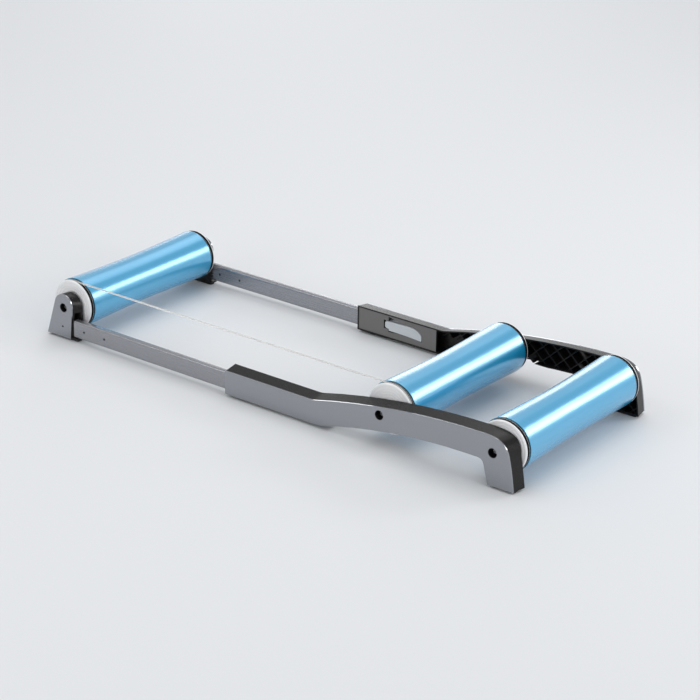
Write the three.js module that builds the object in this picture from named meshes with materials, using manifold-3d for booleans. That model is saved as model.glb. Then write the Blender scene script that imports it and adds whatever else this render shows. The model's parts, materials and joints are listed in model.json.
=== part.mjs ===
// Bike rollers with a telescopic front section: two moulded rails carry the rear and middle rollers, and
// two flat-sided tubes that slide in the rails carry the front roller, which a round belt drives.
// Millimetres, +X forward, +Y to the left, +Z up. The origin is under the middle of the part, on the floor.
// Inside the frame, x is counted from the rear axle and y from the middle, outwards on each side.
import * as THREE from "three";
import { mergeVertices } from "three/addons/utils/BufferGeometryUtils.js";
import Module from "manifold-3d";

const wasm = await Module();
wasm.setup();

// Driving dimensions
const overallWidth = 476;
const axleHeight = 73;
const rearToMiddle = 265.5;
const middleToFront = 854.5;
const middleToMouth = 392.5; // the sleeves' mouths, ahead of the middle axle
const standHeight = 4.5; // from the floor to the underside of the mouldings
const clearance = 0.3; // between pieces that meet
const overrun = 6; // how far a cut runs past what it cuts

// How finely round shapes are drawn
const rollerSides = 24;
const boreSides = 12;
const smallSides = 10;
const sweepSteps = 8;
const filletSteps = 3;
const weldDistance = 0.001;

// Rails
const railWidth = 32;
const railWall = 3;
const coverThickness = 3;
const crownAboveAxle = 35.2;
const crownAhead = 20; // the highest point of a rail, ahead of the rear axle
const bendAhead = 431; // where the top of the sleeve turns up into the arch
const bendRadius = 60;
const archBelowAxle = 18;
const archAhead = 60;
const bellyAhead = 414; // where the underside of the sleeve turns up into the arch
const bellyRadius = 60;
const kneeAhead = 22; // where the front of the leg meets the arch
const kneeRadius = 13;
const hipBack = 38.6;
const hipBelowAxle = 5;
const legBack = 49.8;
const legFront = 9;
const railCorner = 1.5;
const railFlare = 5; // how much further the open side reaches than the cover, at the top and the back
const shoulderReachShare = 0.71; // the shoulder's handles, as shares of the way from crown to hip
const shoulderBackShare = 0.91;
const shoulderDropShare = 0.37;
const calfBackShare = 0.62; // the calf's handle, as shares of the way from hip to heel
const calfDropShare = 0.44;

// Sleeves at the front of the rails
const sleeveTop = 57.2;
const sleeveBottom = 6.3;
const sleeveLength = 210;
const panelRecess = 1; // the sleeve's inner wall lies this far behind the edge of the rim

// Lattice of ribs inside the rails
const ribThickness = 2;
const ribRecess = 4;
const latticePitch = 34;
const latticeAngle = THREE.MathUtils.degToRad(43);
const latticeAhead = 11; // one crossing of the lattice, ahead of the rear axle
const latticeAboveAxle = 20;

// Tubes of the front section
const tubeWidth = 17;
const tubeHeight = 39;
const tubeInset = 7; // the tube's outer face, inside the rail covers' outer face
const tubeBottom = 11.3;
const tubeCorner = 5;
const tubeWall = 2;
const tubeLength = 620;
const tubeToAxle = 30; // from the tube's front end to the front axle
const frontRetreat = 420; // how far the front section slides back
const pinRadius = 2.5;
const pinBore = 1.3;
const pinSpacing = 59;
const pinToEnd = 29;
const plugDepth = 12;
const plugFlange = 2;

// Latch levers
const latchBehindMouth = 76.4; // the lever's pin, behind the mouth of the sleeve
const latchCam = 3.9;
const camRelief = 0.9;
const latchPinRadius = 1.5;
const latchPinTop = 52;
const latchReach = 95.6; // from the pin to the tip of the lever
const latchThickness = 4.4;
const latchBow = 1.6;
const latchTop = 48;
const latchBottom = 25;
const latchNeckTop = 46.4;
const latchHeadTop = 46;
const latchHeadBottom = 29;
const latchTipTop = 33;
const latchTipBottom = 21.5;
const latchArch = 2.5; // the rise of the lower edge between the neck and the tip
const latchFallShare = 0.6; // where the top edge starts to fall, as a share of the way to the tip
const latchCurveShare = 0.9;
const latchNeck = 7; // from the pin to the notches behind the head
const latchNotch = 2.2;
const latchTipRadius = 2;
const latchGap = 1.2; // round the lever, in its window
const slotLength = 37; // the finger slots above and below the lever, which taper away from its head
const slotRise = 9;
const slotDrop = 3.5;
const headRoom = 1.5;

// Rollers
const capToRail = 3; // from a cap's face to the rail
const waistRadius = 51;
const endRadius = 55;
const taperPower = 1.6;
const drumWall = 2;
const drumStationShares = [-1, -0.5, 0, 0.5, 1];

// End caps
const capReach = 13.5; // from the drum's end to the cap's face
const capWall = 3.5;
const spigotDepth = 14;
const ringWidth = 4;
const ringDrop = 1.3; // the cap's rims lie this far inside the drum's end
const grooveWidth = 6;
const grooveFloorWidth = 4.6;
const grooveDepth = 4;
const faceChamfer = 2.2;
const hubWall = 4;
const hubDepth = 14;

// Bearings, axles and screws
const bearingOuter = 14;
const bearingWidth = 8;
const bearingInFace = 3; // the bearing's outer end, behind the cap's face
const bearingShoulder = 3;
const axleRadius = 6;
const screwRadius = 3;
const screwLength = 18;
const screwHeadRadius = 5;
const screwHeadHeight = 6;
const socketRadius = 2.9;
const socketSides = 6;
const socketDepth = 3;
const threadDepth = 17;
const bossRadius = 16;
const noseRadius = 9;
const bossFloor = 4;
const accessRadius = 10;
const railAccessDepth = 10;
const bracketAccessDepth = 8;

// Front brackets
const bracketDepth = 23;
const bracketWall = 3;
const bracketInnerWall = 4;
const domeRadius = 25.3;
const domeAboveAxle = 5.6;
const heelBehindAxle = 18.5;
const toeAheadOfAxle = 50;
const archwayRadius = 30;
const baseBehindAxle = 38;
const baseThickness = 4;
const archwayOpening = 65; // the recess behind the bracket is open below this height
const tongueLength = 100;
const tongueHollow = 3;
const bracketHoleRadius = 2.3;
const bracketHoleAhead = 4;
const bracketHoleHeight = 29;

// Feet, pads and the belt
const footInset = 3;
const footRadius = 4;
const footPegRadius = 3;
const padThickness = 2.4;
const padLength = 80;
const padInset = 3;
const beltRadius = 1.9;

// Places worked out from the sizes
const quarterTurn = Math.PI / 2;
const rearAxleX = 0;
const middleAxleX = rearAxleX + rearToMiddle;
const frontAxleX = middleAxleX + middleToFront;
const mouthX = middleAxleX + middleToMouth;
const sleeveBackX = mouthX - sleeveLength;
const railTop = axleHeight + crownAboveAxle;
const archTop = axleHeight - archBelowAxle;
const hipHeight = axleHeight - hipBelowAxle;
const lipTop = railTop + railFlare;
const railFace = overallWidth / 2;
const railInner = railFace - railWidth;
const coverInner = railFace - coverThickness;
const railOuter = coverInner - clearance;
const webInner = railOuter - railWall;
const panelFace = railInner + panelRecess;
const tubeOuter = railFace - tubeInset;
const tubeInner = tubeOuter - tubeWidth;
const tubeTop = tubeBottom + tubeHeight;
const tubeFrontX = frontAxleX - tubeToAxle;
const tubeRearX = tubeFrontX - tubeLength;
const pinXs = [tubeFrontX - pinToEnd, tubeFrontX - pinToEnd - pinSpacing];
const capFace = railInner - capToRail;
const rollerHalfLength = capFace - capReach;
const bearingFace = capFace - bearingInFace;
const noseEnd = bearingFace + clearance;
const bracketInner = tubeOuter - bracketDepth;
const bracketCoverInner = tubeOuter - coverThickness;
const bracketOuter = bracketCoverInner - clearance;
const heelX = frontAxleX - heelBehindAxle;
const toeX = frontAxleX + toeAheadOfAxle;
const latchX = mouthX - latchBehindMouth;
const latchY = tubeInner - clearance - latchCam;
const rimRadius = endRadius - ringDrop;
const grooveFloor = rimRadius - grooveDepth;
const grooveMiddle = rollerHalfLength + ringWidth + grooveWidth / 2;
const beltPath = grooveFloor + clearance + beltRadius;

// Finishes
const finish = (color, roughness, metalness = 0) =>
  new THREE.MeshStandardMaterial({ color, roughness, metalness });
const blackMoulding = finish(0x2a2828, 0.4);
const satinGrey = finish(0x8e8f95, 0.35, 0.3);
const tubeGrey = finish(0x85858b, 0.4, 0.4);
const drumBlue = finish(0x4ba6d3, 0.25, 0.2);
const capGrey = finish(0xd5d6d9, 0.45);
const latchGrey = finish(0xb5bbbf, 0.45);
const blackRubber = finish(0x1c1c1c, 0.9);
const steel = finish(0xb4b6b8, 0.3, 0.9);
const clearBelt = finish(0xe8e6e4, 0.4);

// Solids

function solidOf(geometry) {
  const bare = geometry.clone();
  bare.deleteAttribute("normal");
  bare.deleteAttribute("uv");
  const merged = mergeVertices(bare, weldDistance);
  return new wasm.Manifold(
    new wasm.Mesh({
      numProp: 3,
      vertProperties: merged.attributes.position.array,
      triVerts: new Uint32Array(merged.index.array),
    }),
  );
}

function geometryOf(solid) {
  const mesh = solid.getMesh();
  const geometry = new THREE.BufferGeometry();
  geometry.setAttribute("position", new THREE.BufferAttribute(mesh.vertProperties, mesh.numProp));
  geometry.setIndex(new THREE.BufferAttribute(mesh.triVerts, 1));
  geometry.computeVertexNormals();
  return geometry;
}

const join = (...pieces) => geometryOf(pieces.map(solidOf).reduce((a, b) => a.add(b)));
const cut = (piece, ...tools) =>
  geometryOf(tools.map(solidOf).reduce((a, b) => a.subtract(b), solidOf(piece)));
const common = (a, b) => geometryOf(solidOf(a).intersect(solidOf(b)));

// Outlines

// A closed outline through corners, each [x, y, radius], with the corners that have a radius rounded
function rounded(corners) {
  const at = corners.map(([x, y]) => new THREE.Vector2(x, y));
  return corners.flatMap(([, , radius = 0], i) => {
    const corner = at[i];
    if (radius <= 0) return [corner];
    const back = at.at(i - 1).clone().sub(corner).normalize();
    const on = at[(i + 1) % at.length].clone().sub(corner).normalize();
    const half = Math.acos(back.dot(on)) / 2;
    const centre = back.clone().add(on).setLength(radius / Math.sin(half)).add(corner);
    const first = back.multiplyScalar(radius / Math.tan(half)).add(corner).sub(centre);
    const last = on.multiplyScalar(radius / Math.tan(half)).add(corner).sub(centre);
    const sweep = Math.atan2(first.cross(last), first.dot(last));
    const origin = new THREE.Vector2();
    return Array.from({ length: filletSteps + 1 }, (_, step) =>
      first.clone().rotateAround(origin, (sweep * step) / filletSteps).add(centre),
    );
  });
}

// The outline moved inwards by a distance. Outlines run anticlockwise.
function inset(points, distance) {
  const normals = points.map((point, i) => {
    const along = points[(i + 1) % points.length].clone().sub(point).normalize();
    return new THREE.Vector2(-along.y, along.x);
  });
  return points.map((point, i) => {
    const before = normals.at(i - 1);
    const mitre = before.clone().add(normals[i]);
    return mitre.multiplyScalar(distance / (1 + before.dot(normals[i]))).add(point);
  });
}

// Points on the circle that is level at its crown and runs down, forwards, to its end.
function fallingArc(crownX, crownZ, endX, endZ) {
  const run = endX - crownX;
  const drop = crownZ - endZ;
  const radius = (run ** 2 + drop ** 2) / (2 * drop);
  const last = quarterTurn - Math.asin(run / radius);
  const circle = new THREE.EllipseCurve(crownX, crownZ - radius, radius, radius, quarterTurn, last, true);
  return circle.getPoints(sweepSteps);
}

const circlePath = (x, z, radius, sides) =>
  new THREE.Path(
    new THREE.EllipseCurve(x, z, radius, radius, 0, 2 * Math.PI, false).getPoints(sides).slice(0, sides),
  );

// Ways to make a solid from an outline

// A side view (x, z), from one distance off the middle to another
function across(points, inner, outer, holes = [], bevel = 0) {
  const shape = new THREE.Shape(points);
  shape.holes = holes;
  const options = {
    depth: outer - inner - 2 * bevel,
    bevelEnabled: bevel > 0,
    bevelThickness: bevel,
    bevelSize: bevel,
    bevelOffset: -bevel,
    bevelSegments: 1,
  };
  const geometry = new THREE.ExtrudeGeometry(shape, options);
  return geometry.rotateX(quarterTurn).translate(0, outer - bevel, 0);
}

const prism = (points, depth) =>
  new THREE.ExtrudeGeometry(new THREE.Shape(points), { depth, bevelEnabled: false });

// A plan view (x, y), from one height to another
const upright = (points, bottom, top) => prism(points, top - bottom).translate(0, 0, bottom);

// A section (y, z), from one x to another
function lengthwise(points, rear, front) {
  const turn = new THREE.Matrix4().makeBasis(
    new THREE.Vector3(0, 1, 0),
    new THREE.Vector3(0, 0, 1),
    new THREE.Vector3(1, 0, 0),
  );
  return prism(points, front - rear).applyMatrix4(turn).translate(rear, 0, 0);
}

// A profile of [radius, distance] pairs turned about a cross axis
const turned = (profile, sides) =>
  new THREE.LatheGeometry(
    profile.map(([radius, distance]) => new THREE.Vector2(radius, distance)),
    sides,
  );
const ring = (profile, sides) => turned([...profile, profile[0]], sides);

const block = (rear, front, inner, outer, bottom, top) =>
  new THREE.BoxGeometry(front - rear, outer - inner, top - bottom).translate(
    (rear + front) / 2,
    (inner + outer) / 2,
    (bottom + top) / 2,
  );

// The tube's section, made larger by a distance all round
function tubeSection(grow) {
  const corner = tubeCorner + grow;
  const inner = tubeInner - grow;
  const outer = tubeOuter + grow;
  const bottom = tubeBottom - grow;
  const top = tubeTop + grow;
  return rounded([
    [inner, bottom, corner],
    [outer, bottom, corner],
    [outer, top, corner],
    [inner, top, corner],
  ]);
}

// Rails

// The side view of a rail, with its top and its back moved outwards by a flare. The shoulder moves twice
// as far, because it is squarer on the open side.
function railOutline(corner, flare) {
  const crown = railTop + flare;
  const hip = -hipBack - flare;
  const heel = -legBack - flare;
  const top = fallingArc(crownAhead, crown, bendAhead, sleeveTop + flare);
  const arch = fallingArc(archAhead, archTop, bellyAhead, sleeveBottom);
  const reach = crownAhead - hip;
  const drop = crown - hipHeight;
  const shoulder = new THREE.CubicBezierCurve(
    new THREE.Vector2(crownAhead, crown),
    new THREE.Vector2(crownAhead - shoulderReachShare * reach - flare, crown),
    new THREE.Vector2(
      crownAhead - shoulderBackShare * reach - flare,
      crown - shoulderDropShare * drop + flare,
    ),
    new THREE.Vector2(hip, hipHeight),
  );
  const calf = new THREE.QuadraticBezierCurve(
    new THREE.Vector2(hip, hipHeight),
    new THREE.Vector2(
      hip + calfBackShare * (heel - hip),
      hipHeight - calfDropShare * (hipHeight - standHeight),
    ),
    new THREE.Vector2(heel, standHeight),
  );
  const plain = (points) => points.map(({ x, y }) => [x, y]);
  return rounded([
    [mouthX, sleeveBottom, corner],
    [mouthX, sleeveTop + flare, corner],
    [bendAhead, sleeveTop + flare, bendRadius],
    ...plain(top.slice(1, -1).reverse()),
    ...plain(shoulder.getPoints(sweepSteps).slice(0, -1)),
    ...plain(calf.getPoints(filletSteps).slice(0, -1)),
    [heel, standHeight, corner],
    [legFront, standHeight, corner],
    [kneeAhead, archTop, kneeRadius],
    ...plain(arch.slice(0, -1)),
    [bellyAhead, sleeveBottom, bellyRadius],
  ]);
}

// The rail's solid shape between two distances off the middle, made smaller by a wall all round
function railSolid(corner, wall, inner, outer) {
  const outlineAt = (distance) => {
    const flare = (railFlare * (railOuter - distance)) / (railOuter - railInner);
    return inset(railOutline(corner, flare), wall);
  };
  return loft(outlineAt(inner), inner, outlineAt(outer), outer);
}

// The boss that holds an axle's end, with the nose that reaches in to the bearing
function axleBoss(axleX, face, root) {
  const profile = [
    [0, noseEnd],
    [noseRadius, noseEnd],
    [noseRadius, face],
    [bossRadius, face],
    [bossRadius, root],
    [0, root],
  ];
  return turned(profile, boreSides).translate(axleX, 0, axleHeight);
}

const headSeat = (outerFace, accessDepth) => outerFace - accessDepth - screwHeadHeight;
const axleEnd = (outerFace, accessDepth) => headSeat(outerFace, accessDepth) - bossFloor;

// The stepped hole through a boss: the axle's socket, the screw's hole and the access hole
function bossHole(axleX, outerFace, accessDepth) {
  const floor = axleEnd(outerFace, accessDepth);
  const seat = headSeat(outerFace, accessDepth);
  const profile = [
    [0, noseEnd - overrun],
    [axleRadius + clearance, noseEnd - overrun],
    [axleRadius + clearance, floor],
    [screwRadius + clearance, floor],
    [screwRadius + clearance, seat],
    [accessRadius, seat],
    [accessRadius, outerFace + overrun],
    [0, outerFace + overrun],
  ];
  return turned(profile, boreSides).translate(axleX, 0, axleHeight);
}

// Crossed ribs in both directions over the whole rail, to be clipped to its outline
function lattice() {
  const rise = lipTop - standHeight;
  const reach = rise / Math.tan(latticeAngle);
  const length = (2 * rise) / Math.sin(latticeAngle);
  const latticeMiddle = axleHeight + latticeAboveAxle;
  const first = Math.floor((-legBack - reach - latticeAhead) / latticePitch);
  const last = Math.ceil((sleeveBackX + reach - latticeAhead) / latticePitch);
  const ribs = [];
  for (let i = first; i <= last; i += 1) {
    for (const slope of [latticeAngle, -latticeAngle]) {
      const rib = new THREE.BoxGeometry(length, railOuter - railInner, ribThickness).rotateY(slope);
      ribs.push(rib.translate(latticeAhead + i * latticePitch, (railInner + railOuter) / 2, latticeMiddle));
    }
  }
  return join(...ribs);
}

const footXs = [-legBack + footInset + 2 * footRadius, legFront - footInset - 2 * footRadius];
const footY = (railInner + railOuter) / 2;

function footPegs(grow, top) {
  return footXs.map((x) =>
    new THREE.CylinderGeometry(footPegRadius + grow, footPegRadius + grow, top, smallSides)
      .rotateX(quarterTurn)
      .translate(x, footY, top / 2),
  );
}

// The openings for a latch: the window for the lever, the finger slots, the room for the head, and the
// pin's hole
function latchOpenings() {
  const neckX = latchX - latchNeck;
  const slots = [
    new THREE.Vector2(neckX - slotLength, latchBottom),
    new THREE.Vector2(neckX, latchBottom - slotDrop),
    new THREE.Vector2(neckX, latchTop + slotRise),
    new THREE.Vector2(neckX - slotLength, latchTop),
  ];
  const inner = railInner - overrun;
  const outer = tubeInner + tubeWall;
  const headFront = latchX + latchCam + headRoom;
  const pinHole = latchPinRadius + clearance;
  const holeTop = latchPinTop + clearance;
  return [
    across(inset(latchSide(), -latchGap), inner, outer),
    across(slots, inner, outer),
    block(neckX, headFront, inner, outer, latchHeadBottom - latchGap, latchHeadTop + latchGap),
    new THREE.CylinderGeometry(pinHole, pinHole, holeTop, smallSides)
      .rotateX(quarterTurn)
      .translate(latchX, latchY, holeTop / 2),
  ];
}

function railBody() {
  const fused = railWall / 2;
  const root = webInner + fused;
  const tray = cut(
    railSolid(railCorner, 0, railInner, railOuter),
    railSolid(0, railWall, railInner - overrun, webInner),
  );
  const ribs = common(lattice(), railSolid(0, fused, railInner + ribRecess, root));
  const sleeve = common(
    block(sleeveBackX, mouthX, panelFace, root, 0, lipTop),
    railSolid(0, fused, panelFace, root),
  );
  const solid = join(
    tray,
    ribs,
    sleeve,
    axleBoss(rearAxleX, railInner, railOuter),
    axleBoss(middleAxleX, railInner, railOuter),
  );
  const pathRear = tubeRearX - plugFlange - frontRetreat - overrun;
  const pathBottom = tubeBottom - clearance;
  const pathTop = tubeTop + clearance;
  return cut(
    solid,
    bossHole(rearAxleX, railFace, railAccessDepth),
    bossHole(middleAxleX, railFace, railAccessDepth),
    lengthwise(tubeSection(clearance), sleeveBackX - overrun, mouthX + overrun),
    block(pathRear, sleeveBackX, railInner - overrun, webInner, pathBottom, pathTop),
    ...latchOpenings(),
    ...footPegs(clearance, standHeight + railWall - clearance),
  );
}

function railCover() {
  const holes = [rearAxleX, middleAxleX].map((x) => circlePath(x, axleHeight, accessRadius, boreSides));
  return across(railOutline(railCorner, 0), coverInner, railFace, holes);
}

function rearFoot() {
  const top = standHeight - clearance;
  const sole = rounded([
    [-legBack + footInset, railInner + footInset, footRadius],
    [legFront - footInset, railInner + footInset, footRadius],
    [legFront - footInset, railOuter - footInset, footRadius],
    [-legBack + footInset, railOuter - footInset, footRadius],
  ]);
  return join(upright(sole, 0, top), ...footPegs(0, standHeight + railWall - 2 * clearance));
}

function sleevePad() {
  const top = sleeveBottom - clearance;
  const pad = rounded([
    [mouthX - padLength, railInner + padInset, footRadius],
    [mouthX - padInset, railInner + padInset, footRadius],
    [mouthX - padInset, railOuter - padInset, footRadius],
    [mouthX - padLength, railOuter - padInset, footRadius],
  ]);
  return upright(pad, top - padThickness, top);
}

// Latch levers, seen from the side and from above, which are two views of the same piece

function latchSide() {
  const headCentre = (latchHeadBottom + latchHeadTop) / 2;
  const halfHead = (latchHeadTop - latchHeadBottom) / 2;
  const headReach = latchNeck + latchCam;
  const neckX = latchX - latchNeck;
  const tipX = latchX - latchReach;
  const along = (share) => neckX + share * (tipX - neckX);
  const curve = (x0, z0, x1, z1, x2, z2) =>
    new THREE.QuadraticBezierCurve(
      new THREE.Vector2(x0, z0),
      new THREE.Vector2(x1, z1),
      new THREE.Vector2(x2, z2),
    )
      .getPoints(sweepSteps)
      .map(({ x, y }) => [x, y]);
  const bodyX = neckX - latchNotch;
  const arch = curve(tipX, latchTipBottom, (tipX + bodyX) / 2, latchBottom + latchArch, bodyX, latchBottom);
  const fall = curve(along(latchFallShare), latchTop, along(latchCurveShare), latchTop, tipX, latchTipTop);
  const head = new THREE.EllipseCurve(neckX, headCentre, headReach, halfHead, -quarterTurn, quarterTurn);
  return rounded([
    [tipX, latchTipBottom, latchTipRadius],
    ...arch.slice(1),
    [neckX - latchNotch / 2, latchHeadBottom + latchNotch / 2],
    ...head.getPoints(sweepSteps).map(({ x, y }) => [x, y]),
    [neckX - latchNotch / 2, latchHeadTop - latchNotch / 2],
    [bodyX, latchNeckTop],
    ...fall.slice(0, -1),
    [tipX, latchTipTop, latchTipRadius],
  ]);
}

function latchPlan() {
  const inner = latchY - latchCam;
  const tipX = latchX - latchReach;
  const bow = new THREE.QuadraticBezierCurve(
    new THREE.Vector2(tipX, inner),
    new THREE.Vector2(latchX - latchReach / 2, inner - 2 * latchBow),
    new THREE.Vector2(latchX, inner),
  );
  const cam = Array.from({ length: sweepSteps }, (_, step) => {
    const angle = -quarterTurn + (Math.PI * (step + 1)) / sweepSteps;
    const radius = latchCam - camRelief * Math.cos(angle) ** 2;
    return new THREE.Vector2(latchX + radius * Math.cos(angle), latchY + radius * Math.sin(angle));
  });
  return [
    ...bow.getPoints(sweepSteps),
    ...cam,
    new THREE.Vector2(latchX - latchCam, inner + latchThickness),
    new THREE.Vector2(tipX, inner + latchThickness),
  ];
}

function latchLever() {
  const plan = upright(latchPlan(), latchTipBottom - overrun, latchTop + overrun);
  const hole = latchPinRadius + clearance;
  const pinHole = new THREE.CylinderGeometry(hole, hole, railTop, smallSides)
    .rotateX(quarterTurn)
    .translate(latchX, latchY, railTop / 2);
  const side = across(latchSide(), latchY - latchCam - overrun, tubeInner);
  return cut(common(plan, side), pinHole);
}

function latchPin() {
  const bottom = sleeveBottom + clearance;
  return new THREE.CylinderGeometry(latchPinRadius, latchPinRadius, latchPinTop - bottom, smallSides)
    .rotateX(quarterTurn)
    .translate(latchX, latchY, (latchPinTop + bottom) / 2);
}

// Front section

const crossHole = (x, z, radius, inner, outer, sides) =>
  new THREE.CylinderGeometry(radius, radius, outer - inner, sides).translate(x, (inner + outer) / 2, z);
const tubeMiddle = (tubeBottom + tubeTop) / 2;
const pinHoles = () =>
  pinXs.map((x) =>
    crossHole(x, tubeMiddle, pinRadius + clearance, tubeInner - overrun, tubeOuter + overrun, smallSides),
  );

const tube = () =>
  cut(
    lengthwise(tubeSection(0), tubeRearX, tubeFrontX),
    lengthwise(tubeSection(-tubeWall), tubeRearX - overrun, tubeFrontX + overrun),
    ...pinHoles(),
  );

function tubePin(x) {
  const profile = [
    [pinBore, tubeInner + clearance],
    [pinRadius, tubeInner + clearance],
    [pinRadius, tubeOuter - clearance],
    [pinBore, tubeOuter - clearance],
  ];
  return ring(profile, smallSides).translate(x, 0, tubeMiddle);
}

function tubePlug() {
  const face = tubeRearX - clearance;
  return join(
    lengthwise(tubeSection(0), face - plugFlange, face),
    lengthwise(tubeSection(-tubeWall - clearance), face - plugFlange, face + plugDepth),
  );
}

// The dome over a bracket with straight sides down to the heel and the toe
function domeOutline(heel, centreX, centreZ, radius) {
  const tangent = (cornerX, side) => {
    const ahead = centreX - cornerX;
    const up = centreZ - standHeight;
    const far = Math.hypot(ahead, up);
    return Math.atan2(-up, -ahead) + side * Math.acos(radius / far);
  };
  const first = tangent(toeX, 1);
  const last = tangent(heel, -1) + 2 * Math.PI;
  const dome = new THREE.EllipseCurve(centreX, centreZ, radius, radius, first, last, false);
  return [
    new THREE.Vector2(heel, standHeight),
    new THREE.Vector2(toeX, standHeight),
    ...dome.getPoints(2 * sweepSteps),
  ];
}

const domeTop = axleHeight + domeAboveAxle + domeRadius;
const plateOutline = () => domeOutline(heelX, frontAxleX, domeTop - domeRadius, domeRadius);
const archwayX = frontAxleX + domeRadius - archwayRadius;
const archwayOutline = () =>
  domeOutline(archwayX - archwayRadius + clearance, archwayX, domeTop - archwayRadius, archwayRadius);

// A solid between two outlines that have as many points, one at each distance off the middle
function loft(innerPoints, inner, outerPoints, outer) {
  const ringOf = (points, distance) => points.flatMap(({ x, y }) => [x, distance, y]);
  const count = innerPoints.length;
  const index = [];
  for (let i = 0; i < count; i += 1) {
    const next = (i + 1) % count;
    index.push(i, i + count, next, next, i + count, next + count);
  }
  for (const [a, b, c] of THREE.ShapeUtils.triangulateShape(innerPoints, [])) index.push(a, b, c);
  for (const [a, b, c] of THREE.ShapeUtils.triangulateShape(outerPoints, [])) {
    index.push(c + count, b + count, a + count);
  }
  const geometry = new THREE.BufferGeometry();
  const places = [...ringOf(innerPoints, inner), ...ringOf(outerPoints, outer)];
  geometry.setAttribute("position", new THREE.Float32BufferAttribute(places, 3));
  geometry.setIndex(index);
  return geometry;
}

const bracketHole = (inner, outer) =>
  crossHole(
    frontAxleX + bracketHoleAhead,
    bracketHoleHeight,
    bracketHoleRadius,
    inner,
    outer,
    smallSides,
  );

function bracket() {
  const innerWall = bracketInner + bracketInnerWall;
  const outerWall = bracketOuter - bracketWall;
  const shell = loft(archwayOutline(), bracketInner, plateOutline(), bracketOuter);
  const hollow = loft(
    inset(archwayOutline(), bracketWall),
    innerWall,
    inset(plateOutline(), bracketWall),
    outerWall,
  );
  const baseTop = standHeight + baseThickness;
  const open = block(
    archwayX - archwayRadius - overrun,
    heelX + overrun,
    innerWall,
    outerWall,
    baseTop,
    archwayOpening,
  );
  const neck = common(
    lengthwise(tubeSection(0), tubeFrontX + clearance, frontAxleX),
    block(tubeFrontX, frontAxleX, tubeInner, bracketOuter, tubeBottom, tubeTop),
  );
  const tongueRear = tubeFrontX - tongueLength;
  const tongue = cut(
    lengthwise(tubeSection(-tubeWall - clearance), tongueRear, tubeFrontX + bracketWall),
    block(
      tongueRear - overrun,
      pinXs[1] - pinRadius - tongueHollow,
      tubeInner,
      tubeOuter,
      tubeMiddle - tongueHollow,
      tubeMiddle + tongueHollow,
    ),
  );
  const base = block(frontAxleX - baseBehindAxle, toeX, bracketInner, bracketOuter, standHeight, baseTop);
  return cut(
    join(
      cut(shell, hollow, open),
      neck,
      tongue,
      base,
      axleBoss(frontAxleX, bracketInner, bracketOuter),
    ),
    bossHole(frontAxleX, tubeOuter, bracketAccessDepth),
    bracketHole(outerWall - clearance, tubeOuter + overrun),
    ...pinHoles(),
  );
}

function bracketCover() {
  const holes = [
    circlePath(frontAxleX, axleHeight, accessRadius, boreSides),
    circlePath(frontAxleX + bracketHoleAhead, bracketHoleHeight, bracketHoleRadius, smallSides),
  ];
  return across(plateOutline(), bracketCoverInner, tubeOuter, holes);
}

function bracketFoot() {
  const rear = frontAxleX - baseBehindAxle + footInset;
  const front = toeX - footInset;
  const sole = rounded([
    [rear, bracketInner + footInset, footRadius],
    [front, bracketInner + footInset, footRadius],
    [front, bracketOuter - footInset, footRadius],
    [rear, bracketOuter - footInset, footRadius],
  ]);
  return upright(sole, 0, standHeight - clearance);
}

// Rollers, built about their own axles

const drumRadius = (distance) =>
  waistRadius + (endRadius - waistRadius) * (Math.abs(distance) / rollerHalfLength) ** taperPower;

function drum() {
  const stations = drumStationShares.map((share) => share * rollerHalfLength);
  const outer = stations.map((distance) => [drumRadius(distance), distance]);
  const inner = outer.map(([radius, distance]) => [radius - drumWall, distance]).reverse();
  return ring([...outer, ...inner], rollerSides);
}

function endCap() {
  const spigotEnd = rollerHalfLength - spigotDepth;
  const ringStart = rollerHalfLength + clearance;
  const grooveStart = rollerHalfLength + ringWidth;
  const flangeStart = grooveStart + grooveWidth;
  const spigot = (distance) => drumRadius(distance) - drumWall - 2 * clearance;
  const hubInner = bearingOuter + clearance;
  const inside = grooveFloor - capWall;
  const profile = [
    [inside, spigotEnd],
    [spigot(spigotEnd), spigotEnd],
    [spigot(rollerHalfLength), ringStart],
    [rimRadius, ringStart],
    [rimRadius, grooveStart],
    [grooveFloor, grooveMiddle - grooveFloorWidth / 2],
    [grooveFloor, grooveMiddle + grooveFloorWidth / 2],
    [rimRadius, flangeStart],
    [rimRadius, capFace - faceChamfer],
    [rimRadius - faceChamfer, capFace],
    [bearingOuter - bearingShoulder, capFace],
    [bearingOuter - bearingShoulder, noseEnd],
    [hubInner, noseEnd],
    [hubInner, capFace - hubDepth],
    [hubInner + hubWall, capFace - hubDepth],
    [hubInner + hubWall, capFace - capWall],
    [inside, capFace - capWall],
  ];
  return ring(profile, rollerSides);
}

function bearing() {
  const inner = bearingFace - bearingWidth;
  const profile = [
    [axleRadius + clearance, inner],
    [bearingOuter, inner],
    [bearingOuter, bearingFace],
    [axleRadius + clearance, bearingFace],
  ];
  return ring(profile, boreSides);
}

// An axle with a threaded hole in each end
function axle(end) {
  const reach = end - clearance;
  const threadEnd = reach - threadDepth;
  const bore = screwRadius + clearance;
  const half = [
    [0, threadEnd],
    [bore, threadEnd],
    [bore, reach],
    [axleRadius, reach],
  ];
  const otherHalf = half.map(([radius, distance]) => [radius, -distance]);
  return turned([...otherHalf, ...half.reverse()], boreSides);
}

// A socket screw whose head lies on the boss floor
function axleScrew(outerFace, accessDepth) {
  const seat = headSeat(outerFace, accessDepth) + clearance;
  const top = seat + screwHeadHeight;
  const profile = [
    [0, seat - screwLength],
    [screwRadius, seat - screwLength],
    [screwRadius, seat],
    [screwHeadRadius, seat],
    [screwHeadRadius, top],
    [0, top],
  ];
  const socket = new THREE.CylinderGeometry(socketRadius, socketRadius, 2 * socketDepth, socketSides);
  return cut(turned(profile, smallSides), socket.translate(0, top, 0));
}

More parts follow.
